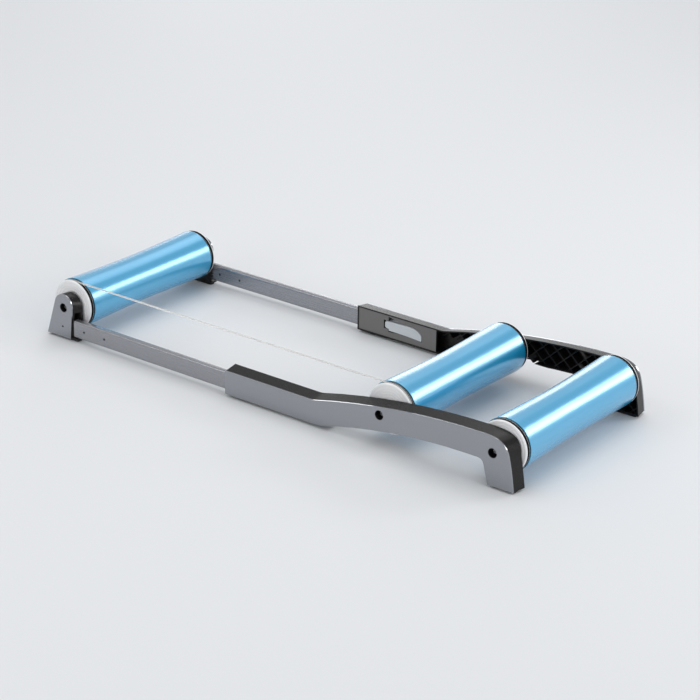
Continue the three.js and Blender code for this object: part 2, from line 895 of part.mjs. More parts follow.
// The belt runs round the left grooves of the middle and front rollers. Its section has eight sides.
function beltLoop() {
  const bevel = beltRadius * (1 - Math.SQRT1_2);
  const halfTurn = (axleX, radius, first) =>
    new THREE.EllipseCurve(axleX, axleHeight, radius, radius, first, first + 2 * quarterTurn)
      .getPoints(rollerSides / 2);
  const outline = (radius) => [
    ...halfTurn(frontAxleX, radius, -quarterTurn),
    ...halfTurn(middleAxleX, radius, quarterTurn),
  ];
  const inner = new THREE.Path(outline(beltPath - beltRadius));
  return across(
    outline(beltPath + beltRadius),
    grooveMiddle - beltRadius,
    grooveMiddle + beltRadius,
    [inner],
    bevel,
  );
}

// Assembly

const frame = new THREE.Group();
frame.position.x = -(rearAxleX + frontAxleX) / 2;

function addTo(group, name, geometry, material) {
  const mesh = new THREE.Mesh(geometry, material);
  mesh.name = name;
  group.add(mesh);
  return mesh;
}

function atAxle(axleX) {
  const group = new THREE.Group();
  group.position.set(axleX, 0, axleHeight);
  frame.add(group);
  return group;
}

// The right side mirrors the left one.
function sidesOf(parent) {
  return ["left", "right"].map((side) => {
    const group = new THREE.Group();
    group.scale.y = side === "left" ? 1 : -1;
    parent.add(group);
    return [side, group];
  });
}

const axles = [
  ["rear", rearAxleX, railFace, railAccessDepth],
  ["middle", middleAxleX, railFace, railAccessDepth],
  ["front", frontAxleX, tubeOuter, bracketAccessDepth],
];
for (const [place, axleX, outerFace, accessDepth] of axles) {
  const centre = atAxle(axleX);
  addTo(centre, `${place}_drum`, drum(), drumBlue);
  addTo(centre, `${place}_axle`, axle(axleEnd(outerFace, accessDepth)), steel);
  for (const [side, group] of sidesOf(centre)) {
    addTo(group, `${place}_cap_${side}`, endCap(), capGrey);
    addTo(group, `${place}_bearing_${side}`, bearing(), steel);
    addTo(group, `${place}_screw_${side}`, axleScrew(outerFace, accessDepth), steel);
  }
}

for (const [side, group] of sidesOf(frame)) {
  addTo(group, `rail_${side}`, railBody(), blackMoulding);
  addTo(group, `rail_cover_${side}`, railCover(), satinGrey);
  addTo(group, `rear_foot_${side}`, rearFoot(), blackRubber);
  addTo(group, `sleeve_pad_${side}`, sleevePad(), blackRubber);
  addTo(group, `latch_lever_${side}`, latchLever(), latchGrey);
  addTo(group, `latch_pin_${side}`, latchPin(), steel);
  addTo(group, `tube_${side}`, tube(), tubeGrey);
  addTo(group, `tube_pin_front_${side}`, tubePin(pinXs[0]), steel);
  addTo(group, `tube_pin_rear_${side}`, tubePin(pinXs[1]), steel);
  addTo(group, `tube_plug_${side}`, tubePlug(), blackMoulding);
  addTo(group, `bracket_${side}`, bracket(), blackMoulding);
  addTo(group, `bracket_cover_${side}`, bracketCover(), satinGrey);
  addTo(group, `bracket_foot_${side}`, bracketFoot(), blackRubber);
}

addTo(frame, "drive_belt", beltLoop(), clearBelt);

const rollers = new THREE.Group();
rollers.add(frame);

export default rollers;
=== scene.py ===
# %% [markdown]
# # Bike rollers, dressed for a studio picture
# The part is already built: its solids, its joints and its sizes come packed as a frame. This
# lesson puts finer pieces and real finishes on that frame, lights it softly and looks at it from
# the rear left. Blender works in metres here, +X is forward, +Y is the left side and the floor is
# at z = 0.

import json
import math

import bmesh
import bpy
from mathutils import Matrix, Vector


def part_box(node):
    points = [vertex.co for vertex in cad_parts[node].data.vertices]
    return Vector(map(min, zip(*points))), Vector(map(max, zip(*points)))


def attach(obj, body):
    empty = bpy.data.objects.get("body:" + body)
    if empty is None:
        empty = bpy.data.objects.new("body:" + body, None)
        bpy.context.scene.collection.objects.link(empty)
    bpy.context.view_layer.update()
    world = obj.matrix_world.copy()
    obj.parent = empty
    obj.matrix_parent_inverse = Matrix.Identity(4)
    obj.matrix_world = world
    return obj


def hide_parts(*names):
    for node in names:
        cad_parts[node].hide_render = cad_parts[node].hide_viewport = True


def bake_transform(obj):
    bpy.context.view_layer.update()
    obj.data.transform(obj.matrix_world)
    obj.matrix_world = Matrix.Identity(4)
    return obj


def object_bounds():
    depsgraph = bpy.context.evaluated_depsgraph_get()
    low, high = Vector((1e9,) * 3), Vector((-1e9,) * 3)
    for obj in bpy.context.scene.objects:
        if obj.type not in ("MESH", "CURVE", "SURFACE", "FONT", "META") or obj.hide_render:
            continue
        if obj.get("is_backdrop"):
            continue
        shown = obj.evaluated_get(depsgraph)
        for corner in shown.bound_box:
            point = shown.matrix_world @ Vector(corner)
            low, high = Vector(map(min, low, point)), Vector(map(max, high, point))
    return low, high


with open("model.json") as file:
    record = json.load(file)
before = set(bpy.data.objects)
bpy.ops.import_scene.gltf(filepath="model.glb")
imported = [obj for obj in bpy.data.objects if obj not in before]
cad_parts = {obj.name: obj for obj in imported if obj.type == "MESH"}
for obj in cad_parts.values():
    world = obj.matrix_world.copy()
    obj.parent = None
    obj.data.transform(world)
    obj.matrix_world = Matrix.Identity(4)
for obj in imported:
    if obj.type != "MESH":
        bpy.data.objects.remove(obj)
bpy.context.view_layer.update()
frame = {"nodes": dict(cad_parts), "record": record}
MM = 0.001
scene = bpy.context.scene
scene.view_settings.view_transform = "Standard"
bodies = frame["record"]["behaviour"]["bodies"]
BODY_OF = {node: body for body, nodes in bodies.items() for node in nodes}

# %% [markdown]
# ## The camera
# The picture is a long-lens view from behind and above. The place, the turn and the lens were
# fitted to circles of a known size and to points on the drums and the rails. The small shift is
# there because the picture was cropped a little off the middle of the lens.

# %% Camera
CAMERA_PLACE = (-2.6625, 3.4363, 1.9152)
CAMERA_TURN = (66.756, -0.756, 217.83)
CAMERA_LENS = 116.5
CAMERA_SHIFT = (0.008, 0.002)

camera_data = bpy.data.cameras.new("camera")
camera_data.lens = CAMERA_LENS
camera_data.shift_x, camera_data.shift_y = CAMERA_SHIFT
camera = bpy.data.objects.new("camera", camera_data)
camera.location = CAMERA_PLACE
camera.rotation_euler = [math.radians(angle) for angle in CAMERA_TURN]
scene.collection.objects.link(camera)
scene.camera = camera
print("camera", [round(c, 2) for c in camera.location])

# %% [markdown]
# ## Colours and nodes
# Colours are written as the hex values that a paint program shows. Those are sRGB, and shaders
# work in linear light, so one function turns them. A second small function adds a shader node,
# sets what it is given and joins what it is handed.


# %% Colour and node helpers
def linear(code):
    """A hex colour such as "9a9ca1" as linear red, green, blue and alpha."""
    shown = [int(code[i : i + 2], 16) / 255 for i in (0, 2, 4)]
    return [c / 12.92 if c <= 0.04045 else ((c + 0.055) / 1.055) ** 2.4 for c in shown] + [1.0]


def add(tree, kind, inputs=None, **settings):
    """Adds a node with its settings. An input is a value, or another node's output to link."""
    node = tree.nodes.new(kind)
    for name, value in settings.items():
        setattr(node, name, value)
    for name, value in (inputs or {}).items():
        if isinstance(value, bpy.types.NodeSocket):
            tree.links.new(value, node.inputs[name])
        else:
            node.inputs[name].default_value = value
    return node


# %% [markdown]
# ## What each finish has in common
# Every finish starts from a base colour, a roughness and a metal value on one shader, and then
# gets the fine unevenness that tells the eye what it is: a noise in object space, whose grain is
# given in millimetres. It varies the colour and the roughness a little, and lifts the surface a
# little. A picture of each surface could do that as well, but it would need a UV map, and would
# stretch on round pieces. The stretch setting draws the grain out along an axis, as brushing,
# drawing or turning does. The noise hardly ever leaves its middle range, so that range is what the
# roughness is spread over. A Mix node has its sockets for several kinds of value under the same
# names, so its colours are picked by number.


# %% A finish with a grain
GRAIN_DETAIL = 4.0
GRAIN_ROUGHNESS = 0.6
GRAIN_RANGE = (0.3, 0.7)
MIX_A, MIX_B, MIXED = 6, 7, 2


def surface(name, dark, light, rough, grain, lift, stretch=(1, 1, 1), **values):
    """A material whose colour and roughness each run between two values, in grains of a size in mm,
    raised by a height in mm. The other values go to the shader's own sockets."""
    material = bpy.data.materials.new(name)
    material.use_nodes = True
    tree = material.node_tree
    shader = tree.nodes["Principled BSDF"]
    place = add(tree, "ShaderNodeTexCoord").outputs["Object"]
    mapped = add(tree, "ShaderNodeMapping", {"Vector": place, "Scale": stretch}).outputs["Vector"]
    fineness = {"Scale": 1 / (grain * MM), "Detail": GRAIN_DETAIL, "Roughness": GRAIN_ROUGHNESS}
    noise = add(tree, "ShaderNodeTexNoise", {"Vector": mapped, **fineness}).outputs["Fac"]
    colour = add(
        tree,
        "ShaderNodeMix",
        {"Factor": noise, MIX_A: linear(dark), MIX_B: linear(light)},
        data_type="RGBA",
    )
    tree.links.new(colour.outputs[MIXED], shader.inputs["Base Color"])
    least, most = GRAIN_RANGE
    ends = {"From Min": least, "From Max": most, "To Min": rough[0], "To Max": rough[1]}
    polish = add(tree, "ShaderNodeMapRange", {"Value": noise, **ends})
    tree.links.new(polish.outputs["Result"], shader.inputs["Roughness"])
    bump = add(tree, "ShaderNodeBump", {"Height": noise, "Strength": 1.0, "Distance": lift * MM})
    tree.links.new(bump.outputs["Normal"], shader.inputs["Normal"])
    for socket, value in values.items():
        shader.inputs[socket.replace("_", " ")].default_value = value
    return material


# %% [markdown]
# ## Black mouldings
# The rails and brackets are glass-filled nylon, moulded black with a soft gloss. A black piece
# shows its shape only by what it reflects, so its gloss matters more than its colour: wide
# highlights slide over the flat faces, and the rounded rims draw thin bright lines. The inner
# wall of each sleeve has a panel of a paler and duller grey. It could be a thin piece of its own,
# but that would have an edge which the moulding lacks, so it is a second finish on the rail.

# %% Black mouldings
# Gives the eye a hard moulded skin. Its mould texture of some 0.2 mm is too fine to show, so the
# grain is drawn at 1.4 mm.
nylon = surface(
    "moulded_nylon_black", "141312", "1c1a19", (0.24, 0.32), 1.4, 0.01, Specular_IOR_Level=0.28
)
# Dull enough for the panel to stand out from the glossy rim round it.
nylon_grey = surface("moulded_nylon_grey", "696766", "726f6e", (0.4, 0.5), 1.4, 0.012)
print("black mouldings:", nylon.name, nylon_grey.name)

# %% [markdown]
# ## Grey metal
# The covers have a satin grey metallic paint, and the tubes nearly the same on drawn steel. A
# high metallic value makes the grey a soft mirror, so the covers take their shades from the floor
# and the lamps. Drawing a tube leaves faint lines along it. A wave texture would make them all
# alike, so they are a grain that is stretched a hundredfold along X.

# %% Grey metal
# Gives the eye fine flakes under a smooth lacquer. Real flakes are under 0.1 mm, too fine to show,
# so they are drawn at 0.9 mm.
paint = surface("satin_grey_paint", "9a9ca1", "a1a3a8", (0.16, 0.2), 0.9, 0.001, Metallic=0.92)
# Gives the eye lengthwise draw lines, 0.6 mm apart so that they show at all.
tube_paint = surface(
    "painted_drawn_steel", "98999e", "9d9ea3", (0.22, 0.3), 0.6, 0.0006, (0.01, 1, 1), Metallic=0.8
)
print("grey metal:", paint.name, tube_paint.name)

# %% [markdown]
# ## Blue drums
# The drums are blue PVC tube, turned to their waist, with a hard clear skin. What the eye knows
# them by is the long white streaks on a saturated blue. A plain gloss would whiten the whole
# blue, so the base is slightly metallic and dull, and a strong clear coat over it holds the
# streaks. The grain varies along the axle only, as a turned surface does.

# %% Blue drums
# Gives the eye a wet-looking shine on a turned body. Real tool marks are 0.2 mm apart, too fine to
# show, so they are drawn 3 mm apart and kept very faint.
drum_blue = surface(
    "gloss_blue_pvc",
    "179fd0",
    "1ca3d4",
    (0.24, 0.27),
    3.0,
    0.0002,
    (0, 1, 0),
    Metallic=0.3,
    Coat_Weight=1.0,
    Coat_Roughness=0.26,
    Coat_IOR=2.0,
)
print("drums:", drum_blue.name)

# %% [markdown]
# ## Caps and latch levers
# Both are moulded ABS, which has a soft sheen and hardly any texture. The caps are light grey,
# with their belt groove painted black as painted shade, and the levers are a cooler pale grey.
# The colours stay below white, so that the flat faces keep their moulded rings instead of burning
# out under the lamps. Light that enters the plastic and comes out again could be drawn too, but
# walls this thick hardly show it.

# %% Caps and latch levers
# Gives the eye a clean, slightly pearly plastic with faint lines round its rims, 0.8 mm apart as
# the steps of a turned mould show them.
cap_grey = surface(
    "moulded_abs_light_grey", "e9e9ea", "eeeeef", (0.34, 0.42), 0.8, 0.003, (0, 1, 0), Metallic=0.15
)
# Painted shade: a matt black that darkens the caps' belt grooves and rings, with a bed for the
# belt, and the walls of the access holes in the covers. Its grain is drawn at 1 mm.
painted_shade_black = surface("black_painted_shade", "101010", "161616", (0.4, 0.5), 1.0, 0.008)
# Gives the eye a handled part, paler than all that is round it, with the same grain.
latch_grey = surface("moulded_abs_pale_grey", "c2c6c9", "c9cdd0", (0.36, 0.46), 1.0, 0.008)
print("caps and levers:", cap_grey.name, painted_shade_black.name, latch_grey.name)

# %% [markdown]
# ## Rubber, steel and cord
# The feet and pads are moulded rubber, the axles, screws and bearings turned steel, and the cross
# pins steel with a black oxide, darkened further to a dull near black as painted shade of their
# holes. The belt is clear polyurethane cord. Clear cord that thin is seen mostly by its milky body
# and a bright line, so it lets only about half of the light through.

# %% Rubber, steel and cord
# Gives the eye a dead matt black with a pebbled skin, in grains of 0.8 mm as on the real feet.
rubber = surface("moulded_rubber_black", "141414", "1e1e1e", (0.75, 0.9), 0.8, 0.06)
# Gives the eye a small hard glint at the bottom of the access holes, with tool marks 0.3 mm apart.
steel = surface("turned_bright_steel", "a9abad", "b9bbbd", (0.2, 0.32), 0.3, 0.002, Metallic=1.0)
# Gives the eye dull dark dots on the tubes: black oxide, darkened to near black as painted shade
# of the pin holes. The oxide's grain is finer than the 0.5 mm drawn here.
black_steel_and_hole_shade = surface("black_oxide_and_painted_hole_shade", "0a0a0a", "101010", (0.5, 0.6), 0.5, 0.004)
# Gives the eye a glassy thread with slightly milky stretches, 2 mm long.
cord_clear = surface(
    "clear_polyurethane_cord",
    "ecebe8",
    "f6f5f3",
    (0.12, 0.2),
    2.0,
    0.004,
    Transmission_Weight=0.55,
    IOR=1.5,
)
print("finishes", len(bpy.data.materials))

# %% [markdown]
# ## From a bmesh to a piece
# A piece here is one finished mesh that stands for one solid of the frame and rides on the same
# body. Smooth faces with sharp edges where the surface really turns keep flat faces flat, and
# weighted normals keep the shading of a large face from bending towards a small rounded edge.

# %% Piece helper
SHARP = math.radians(32)


def piece(bm, node, *finishes):
    """Makes the bmesh a piece that stands for the node."""
    mesh = bpy.data.meshes.new(node + "_fine")
    bm.to_mesh(mesh)
    bm.free()
    mesh.shade_smooth()
    mesh.set_sharp_from_angle(angle=SHARP)
    for finish in finishes:
        mesh.materials.append(finish)
    made = bpy.data.objects.new(node + "_fine", mesh)
    scene.collection.objects.link(made)
    even = made.modifiers.new("even_shading", "WEIGHTED_NORMAL")
    even.keep_sharp = True
    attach(made, BODY_OF[node])
    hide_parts(node)
    return made


# %% [markdown]
# ## Turning
# Drums, caps and screws are turned or moulded round, so each is a profile spun about its own
# axle. A stack of cylinders could give the same steps, but it would have faces inside and seams
# between them. A profile is a closed list of radius and distance off the middle, in millimetres.
# Edges that turn sharply are then rounded a little, as no real edge is a perfect corner.


# %% Spin helper
WELD = 0.001


def spun(profile, axle, side=1, steps=96):
    """A closed profile of (radius, distance) turned about the cross axis through axle."""
    bm = bmesh.new()
    corners = [
        bm.verts.new(axle + Vector((0, side * far * MM, radius * MM))) for radius, far in profile
    ]
    edges = [bm.edges.new(pair) for pair in zip(corners, corners[1:] + corners[:1])]
    bmesh.ops.spin(
        bm,
        geom=corners + edges,
        cent=axle,
        axis=(0, 1, 0),
        angle=2 * math.pi,
        steps=steps,
        use_merge=True,
        use_duplicate=False,
    )
    bmesh.ops.remove_doubles(bm, verts=bm.verts, dist=WELD * MM)
    bmesh.ops.recalc_face_normals(bm, faces=bm.faces)
    return bm


# %% Edge helper
def every(edge):
    """A test that all edges pass."""
    return True


def soften(bm, radius, chosen=every, segments=2):
    """Rounds the sharp convex edges that pass the test, and counts them."""
    edges = [
        edge
        for edge in bm.edges
        if edge.is_manifold and edge.is_convex and edge.calc_face_angle() > SHARP and chosen(edge)
    ]
    bmesh.ops.bevel(
        bm,
        geom=edges,
        offset=radius * MM,
        offset_type="OFFSET",
        affect="EDGES",
        segments=segments,
        profile=0.5,
        material=-1,
        clamp_overlap=True,
    )
    return len(edges)


# %% [markdown]
# ## Drums
# Each drum is waisted: it is 4 mm larger in radius at its ends than in the middle, which centres
# what runs on it. It could be a cylinder that is scaled in its middle, but a spun profile gives
# the curve and the wall in one step. Many stations along the profile make the waist smooth, and
# many steps round it keep the long streaks of light straight.

# %% Drums
WAIST_RADIUS = 51
END_RADIUS = 55
DRUM_HALF = 189.5
DRUM_WALL = 2
TAPER_POWER = 1.6
DRUM_STATIONS = 30
DRUM_STEPS = 240
DRUM_EDGE = 0.4
PLACES = ("rear", "middle", "front")

AXLES = {}
for place in PLACES:
    low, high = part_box(place + "_drum")
    AXLES[place] = (low + high) / 2


def drum_radius(far):
    """The drum's outer radius at a distance off its middle."""
    return WAIST_RADIUS + (END_RADIUS - WAIST_RADIUS) * abs(far / DRUM_HALF) ** TAPER_POWER


stations = [DRUM_HALF * step / DRUM_STATIONS for step in range(-DRUM_STATIONS, DRUM_STATIONS + 1)]
skin = [(drum_radius(far), far) for far in stations]
drum_profile = skin + [(radius - DRUM_WALL, far) for radius, far in reversed(skin)]
for place in PLACES:
    bm = spun(drum_profile, AXLES[place], steps=DRUM_STEPS)
    soften(bm, DRUM_EDGE)
    piece(bm, place + "_drum", drum_blue)
print("drums at", [[round(c, 4) for c in AXLES[place]] for place in PLACES])

# %% [markdown]
# ## End caps
# A moulded cap plugs each end of a drum. From the drum outwards it has a narrow ring, the belt
# groove, and a flange whose flat face has shallow rings moulded in it. The ring and the groove
# are painted black as painted shade, but for a thin grey edge between them. The painted faces
# are picked by where they lie, and get the second finish.

# %% Cap profile
SPIGOT = (46.2, 51.9, 52.4)  # its bore, tip and root, as radii
SPIGOT_END = 175.5
RING_START = 189.8
RIM = 53.7
GROOVE_FLOOR = 49.7
GROOVE = (193.5, 199.5)
GROOVE_BED = (194.2, 198.8)
CAP_FACE = 203
FACE_CHAMFER = 2.2
FACE_BACK = 199.5
FACE_RINGS = (22, 28, 34, 40, 46)
RING_WIDTH = 0.9
RING_DEPTH = 0.6
AXLE_HOLE = 11
BEARING_BORE = 14.3
BEARING_SEAT = 200.3
HUB_RADIUS = 18.3
HUB_END = 189
face = [(RIM - FACE_CHAMFER, CAP_FACE)]
for radius in reversed(FACE_RINGS):
    face += [
        (radius + RING_WIDTH, CAP_FACE),
        (radius + RING_WIDTH / 2, CAP_FACE - RING_DEPTH),
        (radius, CAP_FACE - RING_DEPTH),
        (radius - RING_WIDTH / 2, CAP_FACE),
    ]
cap_profile = [
    (SPIGOT[0], SPIGOT_END),
    (SPIGOT[1], SPIGOT_END),
    (SPIGOT[2], RING_START),
    (RIM, RING_START),
    (RIM, GROOVE[0]),
    (GROOVE_FLOOR, GROOVE_BED[0]),
    (GROOVE_FLOOR, GROOVE_BED[1]),
    (RIM, GROOVE[1]),
    (RIM, CAP_FACE - FACE_CHAMFER),
    *face,
    (AXLE_HOLE, CAP_FACE),
    (AXLE_HOLE, BEARING_SEAT),
    (BEARING_BORE, BEARING_SEAT),
    (BEARING_BORE, HUB_END),
    (HUB_RADIUS, HUB_END),
    (HUB_RADIUS, FACE_BACK),
    (SPIGOT[0], FACE_BACK),
]
print("cap profile has", len(cap_profile), "corners")

# %% Caps
CAP_EDGE = 0.3
GREY_EDGE = 0.4  # the width of the grey edge between the ring and the groove
BELOW_FLOOR = 1  # faces down to here, inside the groove's floor, can be black
BELOW_RIM = 0.1  # the groove's faces have their middles at least this far inside the rim


def takes_painted_shade(centre, axle, side):
    """Whether a face is on the groove or on the ring between it and the drum, both painted shade.
    """
    off = centre - axle
    radius = math.hypot(off.x, off.z) / MM
    far = side * off.y / MM
    on_ring = far < GROOVE[0] - GREY_EDGE
    in_groove = far < GROOVE[1] and radius < RIM - BELOW_RIM
    return radius > GROOVE_FLOOR - BELOW_FLOOR and (on_ring or in_groove)


for place in PLACES:
    for side, sign in (("left", 1), ("right", -1)):
        bm = spun(cap_profile, AXLES[place], sign)
        soften(bm, CAP_EDGE)
        # The groove and the ring by the drum get the black that paints their shade.
        for f in bm.faces:
            f.material_index = int(takes_painted_shade(f.calc_center_median(), AXLES[place], sign))
        piece(bm, f"{place}_cap_{side}", cap_grey, painted_shade_black)
    print(place, "caps at", CAP_FACE, "mm off the middle")

# %% [markdown]
# ## Drive belt
# The belt is a round cord, welded into a loop. It could be a curve with a round bevel, but a
# circle that is drawn along by bmesh operators gives even steps, which stretch well. The circle
# is spun half round the front roller, drawn straight back to the middle roller, spun half round
# that and drawn forward again. The belt crosses the sliding joint, but here it stays where it is
# drawn and follows no body.

# %% Belt
BELT_RADIUS = 1.9
BELT_GAP = 0.3  # between the belt and the groove's floor
BELT_PATH = GROOVE_FLOOR + BELT_GAP + BELT_RADIUS
BELT_SIDES = 20
BELT_BEND_STEPS = 40
BELT_RUN_STEPS = 30
BELT_WELD = 0.01
belt_side = Vector((0, (GROOVE[0] + GROOVE[1]) / 2 * MM, 0))
front_centre = AXLES["front"] + belt_side
middle_centre = AXLES["middle"] + belt_side
run = middle_centre - front_centre

bm = bmesh.new()
start = front_centre - Vector((0, 0, BELT_PATH * MM))
ring = bmesh.ops.create_circle(
    bm,
    segments=BELT_SIDES,
    radius=BELT_RADIUS * MM,
    matrix=Matrix.Translation(start) @ Matrix.Rotation(math.radians(90), 4, "Y"),
)["verts"]
edges = list({edge for vert in ring for edge in vert.link_edges})
for centre, along in ((front_centre, run), (middle_centre, -run)):
    turned = bmesh.ops.spin(
        bm, geom=edges, cent=centre, axis=(0, -1, 0), angle=math.pi, steps=BELT_BEND_STEPS
    )["geom_last"]
    edges = [g for g in turned if isinstance(g, bmesh.types.BMEdge)]
    for step in range(BELT_RUN_STEPS):
        drawn = bmesh.ops.extrude_edge_only(bm, edges=edges)["geom"]
        verts = [g for g in drawn if isinstance(g, bmesh.types.BMVert)]
        bmesh.ops.translate(bm, verts=verts, vec=along / BELT_RUN_STEPS)
        fresh = set(verts)
        edges = [
            g for g in drawn if isinstance(g, bmesh.types.BMEdge) and set(g.verts) <= fresh
        ]
bmesh.ops.remove_doubles(bm, verts=bm.verts, dist=BELT_WELD * MM)
bmesh.ops.recalc_face_normals(bm, faces=bm.faces)
mesh = bpy.data.meshes.new("drive_belt_cord")
bm.to_mesh(mesh)
bm.free()
mesh.shade_smooth()
mesh.materials.append(cord_clear)
belt = bpy.data.objects.new("drive_belt_cord", mesh)
scene.collection.objects.link(belt)
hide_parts("drive_belt")
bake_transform(belt)
print("belt loop", len(mesh.vertices), "points")

# %% [markdown]
# ## Carving
# Round holes and hexagon sockets are drilled and broached on the real pieces. No bmesh operator
# cuts one solid with another, so they are carved with a Boolean modifier, and read back at once
# so that only the carved mesh stays.


# %% Carve helper
def carve(bm, *tools):
    """The bmesh less each of the tools."""
    made = []
    for shape in (bm, *tools):
        mesh = bpy.data.meshes.new("carving")
        shape.to_mesh(mesh)
        shape.free()
        made.append(bpy.data.objects.new("carving", mesh))
        scene.collection.objects.link(made[-1])
    for tool in made[1:]:
        modifier = made[0].modifiers.new("carve", "BOOLEAN")
        modifier.operation = "DIFFERENCE"
        modifier.solver = "EXACT"
        modifier.object = tool
    carved = bmesh.new()
    bpy.context.view_layer.update()
    carved.from_object(made[0], bpy.context.evaluated_depsgraph_get())
    for one in made:
        mesh = one.data
        bpy.data.objects.remove(one)
        bpy.data.meshes.remove(mesh)
    return carved


# %% Round tool
def cylinder(centre, radius, low, high, sides=48):
    """A plain round tool along Y, from one distance to the other from its centre."""
    bm = bmesh.new()
    turn = Matrix.Rotation(math.radians(-90), 4, "X")
    along = turn @ Vector((0, 0, (low + high) / 2 * MM))
    bmesh.ops.create_cone(
        bm,
        cap_ends=True,
        segments=sides,
        radius1=radius * MM,
        radius2=radius * MM,
        depth=abs(high - low) * MM,
        matrix=Matrix.Translation(centre + along) @ turn,
    )
    return bm


# %% [markdown]
# ## Socket screws
# Each axle is held at both ends by a socket screw at the bottom of an access hole, where it
# catches a little light. A plain disc would do from far off, but the dark hexagon is what tells
# the eye that it is a screw. The head is spun, its edge is rounded, and the hexagon is carved.

# %% Screws
SCREW_SHANK = 3
SCREW_HEAD = 5
SCREW_HEAD_HEIGHT = 6
SCREW_LENGTH = 18
SCREW_EDGE = 0.5
SCREW_STEPS = 40
SOCKET_RADIUS = 2.9
SOCKET_DEPTH = 3
SOCKET_SIDES = 6
SOCKET_PAST = 1  # how far the socket's tool stands out of the head
RAIL_SEAT = 222
BRACKET_SEAT = 217
SEAT_GAP = 0.3  # between a screw's head and its seat
SCREW_SEATS = {
    "rear": RAIL_SEAT + SEAT_GAP,
    "middle": RAIL_SEAT + SEAT_GAP,
    "front": BRACKET_SEAT + SEAT_GAP,
}

for place, seat in SCREW_SEATS.items():
    top = seat + SCREW_HEAD_HEIGHT
    screw_profile = [
        (0, seat - SCREW_LENGTH),
        (SCREW_SHANK, seat - SCREW_LENGTH),
        (SCREW_SHANK, seat),
        (SCREW_HEAD, seat),
        (SCREW_HEAD, top),
        (0, top),
    ]
    for side, sign in (("left", 1), ("right", -1)):
        bm = spun(screw_profile, AXLES[place], sign, SCREW_STEPS)
        soften(bm, SCREW_EDGE)
        reach = (sign * (top - SOCKET_DEPTH), sign * (top + SOCKET_PAST))
        socket = cylinder(AXLES[place], SOCKET_RADIUS, *reach, SOCKET_SIDES)
        piece(carve(bm, socket), f"{place}_screw_{side}", steel)
print("screws at", SCREW_SEATS)

# %% [markdown]
# ## Mouldings, covers and tubes
# The rails, brackets, covers and tubes already have the right shape in the frame, but hard edges
# and holes with few sides. A real moulding has rounded rims that catch the light in a thin line.
# They could be drawn anew, but a copy of the solid keeps the outline and the lattice of ribs
# exactly. Its triangles are merged into whole faces, the holes are carved round, and the edges
# that lie in its outer planes are rounded. Some of them have two finishes: the walls of the access
# holes in the grey covers are painted black as painted shade of the holes, and the sleeves have
# their paler panel. A test on each face's place and direction tells which finish it takes.


# %% Refine helper
CAD_WELD = 0.003
FLAT_ANGLE = math.radians(0.3)  # faces that turn less than this are one flat face
RIM_SEGMENTS = 3


def refined(node, radius, chosen, finish, tools=(), second=None, where=None):
    """A finer copy of a solid with its chosen edges rounded, and a second finish on the faces that
    pass the test."""
    bm = bmesh.new()
    bm.from_mesh(frame["nodes"][node].data)
    bmesh.ops.remove_doubles(bm, verts=bm.verts, dist=CAD_WELD * MM)
    if tools:
        bm = carve(bm, *tools)
    bmesh.ops.dissolve_limit(
        bm, angle_limit=FLAT_ANGLE, verts=bm.verts, edges=bm.edges, use_dissolve_boundaries=False
    )
    count = soften(bm, radius, chosen, RIM_SEGMENTS)
    finishes = [finish]
    if second:
        finishes.append(second)
        bm.normal_update()
        for f in bm.faces:
            f.material_index = int(where(f))
    made = piece(bm, node, *finishes)
    print(node, "rounded", count, "edges,", len(made.data.polygons), "faces")
    return made


# %% Edge test
IN_PLANE = 0.05


def in_planes(*planes):
    """A test for edges that lie in one of the upright planes at these distances off the middle."""

    def chosen(edge):
        far = [abs(vert.co.y) / MM for vert in edge.verts]
        return any(all(abs(f - plane) < IN_PLANE for f in far) for plane in planes)

    return chosen


# %% Face tests
ACCESS_RADIUS = 10.05
ACROSS = 0.5  # a face on the wall of a cross hole has less of Y than this in its normal
SLEEVE_WALL = 207
ON_WALL = 0.1
PANEL = (-113, 96)  # from the sleeve's back to its mouth, along X


def in_hole(*places):
    """A test for faces on the access hole walls at these axles, which take the painted shade."""

    def on_wall(f):
        offs = [f.calc_center_median() - AXLES[place] for place in places]
        nearest = min(math.hypot(off.x, off.z) for off in offs)
        return abs(f.normal.y) < ACROSS and nearest < ACCESS_RADIUS * MM

    return on_wall


def on_sleeve_panel(f):
    """A test for faces on the pale panel of a sleeve's inner wall."""
    return all(
        PANEL[0] < vert.co.x / MM < PANEL[1] and abs(abs(vert.co.y) / MM - SLEEVE_WALL) < ON_WALL
        for vert in f.verts
    )


# %% Access holes
RAIL_FACE = 238
BRACKET_FACE = 231
SEAT_SKIN = 0.02  # a tool stops this short of the hole's bottom, so that the bottom stays whole
PAST = 6  # how far a tool stands out of the cover


def access_holes(sign, seat, face, *places):
    """Tools for the access holes of one side, with a sign of 1 on the left and -1 on the right."""
    reach = (sign * (seat + SEAT_SKIN), sign * (face + PAST))
    return [cylinder(AXLES[place], ACCESS_RADIUS, *reach) for place in places]


# %% [markdown]
# ## Both sides
# The left and the right side are alike. One could be mirrored from the other, but the frame has
# both solids, so one loop refines both. The rails, brackets and covers have their own planes and
# holes. The other pieces are simple: all their sharp edges get one radius. Only the tubes keep
# theirs, because their corners are round already, and the brackets and plugs close their ends.


# %% Mouldings and covers
RAIL_INNER = 206
RAIL_OUTER = 234.7
BRACKET_INNER = 208
BRACKET_OUTER = 227.7
RIM_RADIUS = 1.2
SMALL_RIM_RADIUS = 0.8


def no_edge(edge):
    """A test that no edge passes."""
    return False


SIMPLE_PIECES = {
    "tube": (0.5, no_edge, tube_paint),
    "tube_plug": (0.6, every, nylon),
    "latch_lever": (0.8, every, latch_grey),
    "rear_foot": (0.8, every, rubber),
    "sleeve_pad": (0.6, every, rubber),
    "bracket_foot": (0.8, every, rubber),
}

